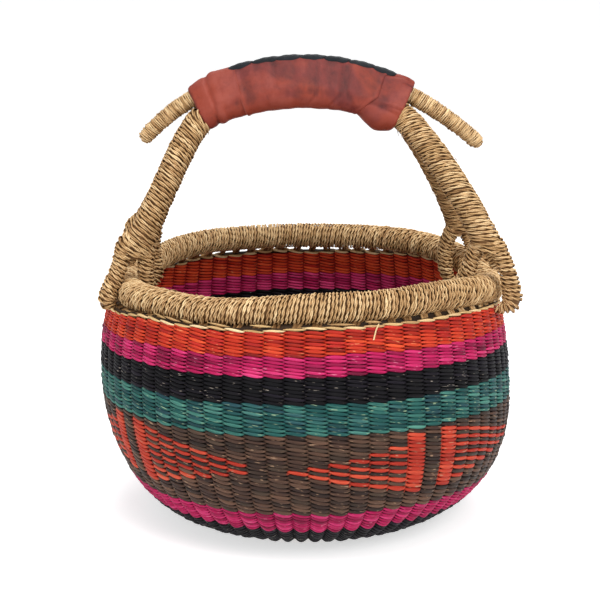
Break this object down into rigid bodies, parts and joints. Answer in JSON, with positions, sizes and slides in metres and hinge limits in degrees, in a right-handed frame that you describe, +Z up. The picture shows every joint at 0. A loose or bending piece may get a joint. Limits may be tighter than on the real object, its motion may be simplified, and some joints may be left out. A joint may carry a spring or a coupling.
{
  "type": "handwoven straw basket",
  "caption": "Round twined straw basket with striped wall, cord-wrapped rim and a fixed arched handle with a leather grip.",
  "frame": {"origin": "centre of the flat base, on the surface that the basket stands on", "axes": "+Z up along the bowl's axis, X across the two ends of the handle, -Y towards the side the picture shows"},
  "size_m": [0.3807, 0.3806, 0.4202],
  "materials": {
    "straw": "twisted dry grass cord, matte with a slight sheen",
    "pale_straw": "undyed split grass, matte",
    "orange_straw": "dyed grass, matte with a slight sheen",
    "magenta_straw": "dyed grass, matte with a slight sheen",
    "black_straw": "dyed grass, matte with a slight sheen",
    "teal_straw": "dyed grass, matte with a slight sheen",
    "brown_straw": "dyed grass with a red woven motif, matte",
    "brown_leather": "soft goat leather, creased, satin",
    "black_leather": "dyed leather lace, satin"
  },
  "bodies": {
    "root": {"base_hub": "straw", "base_weave": "straw", "lower_black_weft": "black_straw", "lower_magenta_weft": "magenta_straw", "lower_brown_weft": "brown_straw", "upper_brown_weft": "brown_straw", "teal_weft": "teal_straw", "black_weft": "black_straw", "magenta_weft": "magenta_straw", "orange_weft": "orange_straw", "border_row": "pale_straw", "rim_core_and_stakes": "pale_straw", "rim_wrap_1": "straw", "rim_wrap_2": "straw", "rim_wrap_3": "straw", "rim_wrap_4": "straw", "front_handle_bundle": "straw", "rear_handle_bundle": "straw", "horn_bundle": "straw", "right_front_leg_wrap": "straw", "right_rear_leg_wrap": "straw", "left_front_leg_wrap": "straw", "left_rear_leg_wrap": "straw", "right_front_rim_loop": "straw", "right_rear_rim_loop": "straw", "left_front_rim_loop": "straw", "left_rear_rim_loop": "straw", "leather_grip": "brown_leather", "leather_end_left": "brown_leather", "leather_end_right": "brown_leather", "grip_lacing": "black_leather"}
  },
  "joints": []
}
